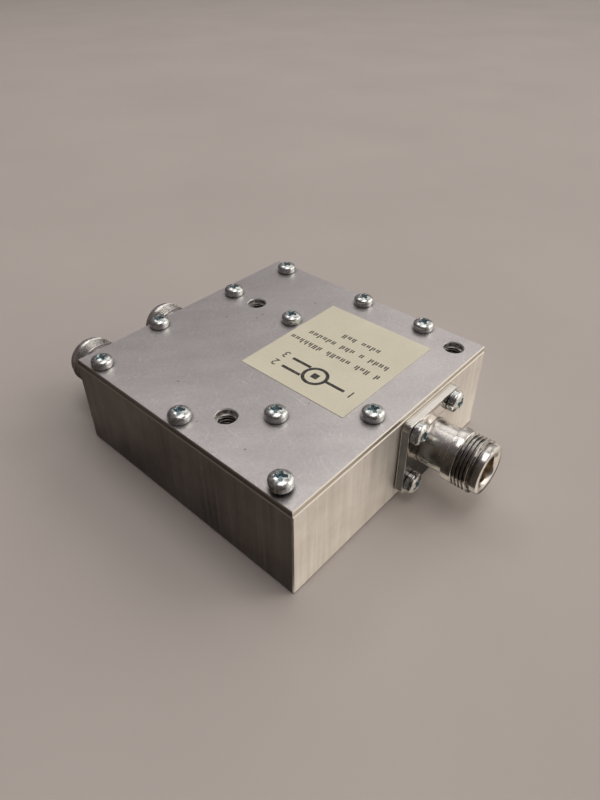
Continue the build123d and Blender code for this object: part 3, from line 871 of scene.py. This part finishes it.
def jack_shell(node, materials):
    """Replaces a jack's shell with a threaded one. The materials are those of its outside,
    of its bore, and of its thread with the nose."""
    place, length = jack_place(node)
    low, high = corners_mm(node)
    screws_low, screws_high = corners_mm(node.replace("jack_shell", "flange_screws"))
    spacing = (screws_high.x - screws_low.x) / 2 - HEAD_R
    bm = bmesh.new()
    outlines = [rounded_square(high.x - low.x, FLANGE_CORNER_R)]
    outlines.append(round_hole(0, 0, BARREL_R - SHELL_OVERLAP, LATHE_STEPS))
    for x in (-spacing, spacing):
        outlines += [round_hole(x, y, FLANGE_HOLE_R) for y in (-spacing, spacing)]
    add_flat(bm, outlines, 0, FLANGE_THICKNESS, FLANGE_EDGE_R)
    outer = [
        (INSULATOR_R, 0),
        (BARREL_R, 0),
        (BARREL_R, FLANGE_THICKNESS),
        (BARREL_R, BARREL_END - BARREL_FILLET),
    ]
    outer += [(COUPLING_R - inward, BARREL_END + along) for inward, along in COLLAR_EDGE]
    outer.append((COUPLING_R, THREAD_START))
    inward, back = NOSE_ROUNDING
    nose = [
        (COUPLING_R, THREAD_END - THREAD_GAP),
        (RELIEF_R + RELIEF_FLANK, THREAD_END),
        (RELIEF_R, THREAD_END + TURNED_EDGE),
        (RELIEF_R, NOSE_START - NOSE_FILLET),
        (NOSE_R - TURNED_EDGE, NOSE_START),
        (NOSE_R, NOSE_START + TURNED_EDGE),
        (NOSE_R, length - NOSE_BREAK),
        (NOSE_R - NOSE_BREAK * inward, length - NOSE_BREAK * back),
        (NOSE_R - NOSE_BREAK, length),
        (MOUTH_R + TURNED_EDGE, length),
        (MOUTH_R, length - TURNED_EDGE / 2),
    ]
    lip_out, lip_along = SOCKET_LIP
    mouth = [nose[-1], (SOCKET_R + lip_out, length - MOUTH_TAPER)]
    bore = [
        mouth[-1],
        (SOCKET_R, length - MOUTH_TAPER - lip_along),
        (SOCKET_R, length - SOCKET_DEPTH),
        (INSULATOR_R, length - SOCKET_DEPTH),
        (INSULATOR_R, 0),
    ]
    for profile, material in ((outer, 0), (nose, 2), (mouth, 2), (bore, 1)):
        add_rings(bm, [circle(r, z, LATHE_STEPS) for r, z in profile], material)
    thread = (THREAD_START, THREAD_END - THREAD_GAP, THREAD_PITCH, COUPLING_R, THREAD_DEPTH)
    add_thread(bm, *thread, LATHE_STEPS, material=2)
    tidy_mesh(bm)
    bmesh.ops.transform(bm, matrix=place, verts=bm.verts)
    make_piece(node + "_threaded", bm, materials, [node], smooth_angle=32)


def threaded_holes():
    """Place and radius of each mounting hole, in millimetres."""
    mounts = [m for m in frame["record"]["mounts"] if m["kind"] == "threaded_hole"]
    return [(m["pos_m"][0] / MM, m["pos_m"][1] / MM, m["dims"]["r_mm"]) for m in mounts]


def hole_rims(material):
    """The burred lip left just inside each of the lid's mounting holes."""
    top = corners_mm("lid")[1].z
    section = [circle(LID_HOLE_R + outward, up, LIP_STEPS) for outward, up in LIP_SECTION]
    bm = bmesh.new()
    for x, y, _ in threaded_holes():
        shift = Vector((x, y, top))
        add_rings(bm, [[point + shift for point in ring] for ring in section], closed=True)
    bmesh.ops.recalc_face_normals(bm, faces=bm.faces)
    make_piece("hole_rims", bm, [material])


def mounting_threads(material):
    """Thread ridges on the walls of the housing's mounting holes."""
    low, high = corners_mm("housing")
    top = high.z - MOUNT_LEAD_IN
    bottom = low.z + MOUNT_LEAD_IN
    lead = MOUNT_LEAD_IN * MOUNT_LEAD_SHARE
    bm = bmesh.new()
    for x, y, bore in threaded_holes():
        part = bmesh.new()
        back = bore + SHELL_OVERLAP
        crest = bore - MOUNT_DEPTH
        add_thread(part, bottom, top, MOUNT_PITCH, crest, -MOUNT_DEPTH, MOUNT_STEPS)
        skin = [(crest, top), (bore, top + lead), (back, top), (back, bottom)]
        skin += [(bore, bottom - lead), (crest, bottom)]
        add_rings(part, [circle(r, z, MOUNT_STEPS) for r, z in skin])
        tidy_mesh(part)
        add_copies(bm, part, [Matrix.Translation((x, y, 0))])
        part.free()
    make_piece("mounting_threads", bm, [material])


def label(film, ink):
    """The film and, on it, a plain divider diagram over three rows of marks."""
    low, high = corners_mm("label")
    bm = bmesh.new()
    add_flat(bm, [rectangle(low.x, low.y, high.x, high.y)], low.z, high.z, FILM_EDGE_R)
    make_piece("label_sheet", bm, [film], ["label"])
    marks = bmesh.new()

    def bar(u0, v0, u1, v1):
        add_flat(marks, [rectangle(u0, v0, u1, v1)], 0, INK_THICKNESS)

    def stroke(u0, u1, v):
        bar(u0, v - STROKE / 2, u1, v + STROKE / 2)

    stroke(LEAD_START_U, RING_U - RING_R + RING_OVERLAP, DIAGRAM_V)
    rim = round_hole(RING_U, DIAGRAM_V, RING_R, RING_STEPS)[::-1]
    hole = round_hole(RING_U, DIAGRAM_V, RING_R - STROKE, RING_STEPS)
    add_flat(marks, [rim, hole], 0, INK_THICKNESS)
    branch_start = RING_U + math.sqrt(RING_R**2 - (BRANCH_V - STROKE / 2) ** 2)
    for rise in (-BRANCH_V, BRANCH_V):
        stroke(branch_start, BRANCH_END_U, DIAGRAM_V + rise)
    bar(RING_U - CORE_HALF, DIAGRAM_V - CORE_HALF, RING_U + CORE_HALF, DIAGRAM_V + CORE_HALF)
    for digit, u, rise in NUMERALS:
        curve = bpy.data.curves.new("numeral", "FONT")
        curve.body = digit
        curve.size = NUMERAL_HEIGHT
        curve.align_x = "CENTER"
        curve.extrude = INK_THICKNESS / 2
        v = DIAGRAM_V + rise - NUMERAL_DROP
        add_curve(marks, curve, (u, v, INK_THICKNESS / 2))
    dice = random.Random(SEED)
    for start, count, foot, gaps in MARK_ROWS:
        for i in range(count):
            heights = [dice.choice(MARK_HEIGHTS) * MARK_HEIGHT for _ in range(2)]
            if i in gaps:
                continue
            for k, height in enumerate(heights):
                u = start + i * MARK_PITCH + k * MARK_GAP
                bar(u, foot, u + MARK_WIDTH, foot + height)
    place = Matrix(((0, -1, 0, high.x), (1, 0, 0, low.y), (0, 0, 1, high.z), (0, 0, 0, 1)))
    bmesh.ops.transform(marks, matrix=place, verts=marks.verts)
    make_piece("label_print", marks, [ink])


# Stage


def area_light(name, place, aim, size, watts, colour):
    data = bpy.data.lights.new(name, "AREA")
    data.shape = "RECTANGLE"
    data.size, data.size_y = size
    data.energy = watts
    data.color = colour
    lamp = bpy.data.objects.new(name, data)
    lamp.location = place
    lamp.rotation_euler = (Vector(aim) - Vector(place)).to_track_quat("-Z", "Y").to_euler()
    lamp.visible_camera = False
    bpy.context.scene.collection.objects.link(lamp)


def floor():
    """A wide pale floor just under the box, plain to the camera. Metal mirrors it with painted
    shade, streaked with painted light, near the box and on the left, as beside black cards just out
    of view, and bright with a faint painted glow elsewhere."""
    s = Surface("floor", (0.35, 0.31, 0.28), 0.0, 0.6, Specular_IOR_Level=0.2)
    haze = s.noise((9, 9, 9), detail=4)
    plain = s.tones(haze, 0.3, 0.7, (0.57, 0.52, 0.485), (0.61, 0.557, 0.52))
    x, y = s.axis("X"), s.axis("Y")
    past_left = s.zone(x, -46, -43)
    off_jack = s.maths("ABSOLUTE", s.maths("SUBTRACT", x, 21 * MM))
    beside_jack = s.zone(off_jack, 9, 15)
    forward = s.maths("MULTIPLY", y, -1.0)
    slant = s.maths("MULTIPLY_ADD", x, -0.167, forward)
    past_jack = s.zone(slant, 64.0, 65.6, 0.04, 1.0)
    falling = s.zone(forward, 58, 70, 1.0, 0.35)
    in_front = s.maths("MULTIPLY", s.zone(forward, 43.0, 43.6), falling)
    near_face = s.maths("MAXIMUM", s.maths("MULTIPLY", in_front, beside_jack), past_jack)
    front_half = s.zone(y, 0, 30, 0.5, 0.0)
    on_right = s.maths("MULTIPLY", s.zone(x, 60, 100), front_half)
    open_side = s.maths("MULTIPLY", past_left, s.maths("MAXIMUM", near_face, on_right))
    streaks = s.noise((30, 125, 1), detail=2, turn=(0, 0, 35))
    away = s.zone(x, -54, -44, 1.0, 0.12)
    lit = s.maths("MULTIPLY", s.spread(streaks, 0.45, 0.62), away)
    shade = s.blend(lit, (0.018, 0.012, 0.010), (0.26, 0.211, 0.178))
    # Seen only in reflections: painted shade and painted light streaks near the box and on the
    # left, bright elsewhere.
    mirrored = s.blend(open_side, shade, (0.97, 0.895, 0.80))
    glossy = s.node("ShaderNodeLightPath").outputs["Is Glossy Ray"]
    s.set("Base Color", s.blend(glossy, plain, mirrored))
    # A painted glow, seen only in reflections, where the floor is mirrored bright.
    s.set("Emission Color", (1.0, 0.93, 0.84, 1))
    s.set("Emission Strength", s.maths("MULTIPLY", s.maths("MULTIPLY", open_side, glossy), 0.14))
    bm = bmesh.new()
    rows = add_rings(bm, [circle(r, -FLOOR_DROP, FLOOR_STEPS) for r in FLOOR_RADII])
    add_cap(bm, rows[-1], (0, 0, -FLOOR_DROP))
    plane = add_object("floor", bm, [s.material])


def card():
    """A dark sheet of painted shade that stands beside the front jack and shows only in what it
    mirrors, with a faint painted glow at its end by the box. It is dark on the jack's side and
    clear from the other."""
    s = Surface("card", (0.06, 0.048, 0.04), 0.0, 0.9)
    behind = s.node("ShaderNodeNewGeometry").outputs["Backfacing"]
    s.set("Alpha", s.maths("SUBTRACT", 1.0, behind))
    # Painted shade with painted streaks of reflected light.
    streaks = s.noise((40, 500, 120), detail=3)
    dark = s.tones(streaks, 0.35, 0.65, (0.03, 0.024, 0.02), (0.16, 0.135, 0.115))
    s.set("Base Color", dark)
    # A painted glow at the end by the box's face.
    s.set("Emission Color", (1.0, 0.92, 0.82, 1))
    s.set("Emission Strength", s.zone(s.axis("Y"), -48.0, -46.5, 0.0, 0.09))
    bm = bmesh.new()
    bm.faces.new([bm.verts.new((CARD_X, y, z)) for y, z in reversed(CARD_CORNERS)])
    sheet = add_object("card", bm, [s.material])
    sheet.visible_camera = False
    sheet.visible_diffuse = False
    sheet.visible_shadow = False


def sky():
    """Soft light from all round: bright high on the right and low at the front right, and
    dark on the left. The camera sees a plain tone."""
    world = bpy.data.worlds.new("studio")
    bpy.context.scene.world = world
    world.use_nodes = True
    tree = world.node_tree
    background = tree.nodes["Background"]
    coordinates = tree.nodes.new("ShaderNodeTexCoord")

    def lobe(aim, stops):
        """Brightness by the angle to a direction, from -1 behind it to 1 along it."""
        along = tree.nodes.new("ShaderNodeVectorMath")
        along.operation = "DOT_PRODUCT"
        along.inputs[1].default_value = Vector(aim).normalized()
        tree.links.new(coordinates.outputs["Generated"], along.inputs[0])
        half = tree.nodes.new("ShaderNodeMath")
        half.operation = "MULTIPLY_ADD"
        half.inputs[1].default_value = 0.5
        half.inputs[2].default_value = 0.5
        tree.links.new(along.outputs["Value"], half.inputs[0])
        ramp = tree.nodes.new("ShaderNodeValToRGB")
        ramp.color_ramp.interpolation = "EASE"
        for spot, (share, colour) in zip(ramp.color_ramp.elements, (stops[0], stops[-1])):
            spot.position = (share + 1) / 2
            spot.color = (*colour, 1)
        for share, colour in stops[1:-1]:
            spot = ramp.color_ramp.elements.new((share + 1) / 2)
            spot.color = (*colour, 1)
        tree.links.new(half.outputs[0], ramp.inputs[0])
        return ramp.outputs[0]

    def mix(blend_type, first, second, share=1.0):
        made = tree.nodes.new("ShaderNodeMix")
        made.data_type = "RGBA"
        made.blend_type = blend_type
        sockets = [s for s in made.inputs if s.type == "RGBA"]
        for socket, value in ((made.inputs[0], share), (sockets[0], first), (sockets[1], second)):
            if isinstance(value, bpy.types.NodeSocket):
                tree.links.new(value, socket)
            else:
                socket.default_value = value
        return next(s for s in made.outputs if s.type == "RGBA")

    light = mix("ADD", lobe(SIDE_AIM, SIDE_STOPS), lobe(GLOW_AIM, GLOW_STOPS))
    seen = tree.nodes.new("ShaderNodeLightPath").outputs["Is Camera Ray"]
    tree.links.new(mix("MIX", light, (*BACKDROP, 1), seen), background.inputs["Color"])
    background.inputs["Strength"].default_value = 1.0


def camera():
    data = bpy.data.cameras.new("camera")
    data.sensor_fit = "AUTO"
    data.sensor_width = SENSOR_WIDTH
    data.lens = FOCAL_PX / FRAME_HEIGHT_PX * SENSOR_WIDTH
    data.shift_x = (FRAME_WIDTH_PX / 2 - PRINCIPAL_X_PX) / FRAME_HEIGHT_PX
    data.shift_y = (PRINCIPAL_Y_PX - FRAME_HEIGHT_PX / 2) / FRAME_HEIGHT_PX
    data.clip_start = CLIP_NEAR
    data.clip_end = CLIP_FAR
    eye = bpy.data.objects.new("camera", data)
    turn = Matrix.Rotation(math.radians(-CAMERA_AZIMUTH), 4, "Z")
    tilt = Matrix.Rotation(math.radians(90 - CAMERA_DOWNWARD), 4, "X")
    roll = Matrix.Rotation(math.radians(CAMERA_ROLL), 4, "Z")
    eye.matrix_world = Matrix.Translation(Vector(CAMERA_PLACE) * MM) @ turn @ tilt @ roll
    bpy.context.scene.collection.objects.link(eye)
    bpy.context.scene.camera = eye


def studio():
    camera()
    for name, values in LIGHTS.items():
        area_light(name, *values)
    floor()
    card()
    sky()
    bpy.context.scene.view_settings.view_transform = "Standard"


def dress_frame():
    """Gives every CAD node its finish. Returns those that the drawn pieces share."""
    finishes = {
        "housing": milled_aluminium(corners_mm("housing")[1]),
        "lid": lid_aluminium(*corners_mm("lid")),
        "circuit_board": board_laminate(),
        "circuit_tracks": copper_foil(),
        "input_strap": copper_foil(),
        "isolation_resistor": resistor_ceramic(),
        "resistor_end_caps": tinned_metal(),
        "solder_joints": tinned_metal(),
    }
    by_ending = {
        "jack_insulator": insulator_resin(),
        "jack_contact": gold_plate(),
        "screws": zinc_steel(),
        "shell": nickel_plate(),
        "label": label_film(),
    }
    for name, node in frame["nodes"].items():
        found = finishes.get(name) or next(m for end, m in by_ending.items() if name.endswith(end))
        node.data.materials.clear()
        node.data.materials.append(found)
    return by_ending


def main():
    finishes = dress_frame()
    dice = random.Random(SEED)
    screw_finish = [finishes["screws"], zinc_recess()]
    driven_screws("lid_screws_driven", "lid_screws", (0, 0, 1), screw_finish, dice)
    polished = nickel_bright("nickel_bright", (0.60, 0.57, 0.535), (0.76, 0.74, 0.71), 0.14, 0.22)
    # The output jacks' copy of the plate is a little rougher and painted lighter, a painted
    # highlight that whitens their tops.
    satin = nickel_bright(
        "nickel_satin_painted_lighter", (0.78, 0.76, 0.73), (0.93, 0.915, 0.89), 0.22, 0.32, gap=(0.20, 0.60)
    )
    bore = bore_plate()
    for name, way, cut in (("input", -1, polished), ("output_1", 1, satin), ("output_2", 1, satin)):
        jack_shell(f"{name}_jack_shell", [finishes["shell"], bore, cut])
        screws = f"{name}_flange_screws"
        driven_screws(f"{name}_screws_driven", screws, (0, way, 0), screw_finish, dice)
    hole_rims(cut_aluminium())
    mounting_threads(tapped_aluminium())
    label(finishes["label"], label_ink())
    studio()


main()
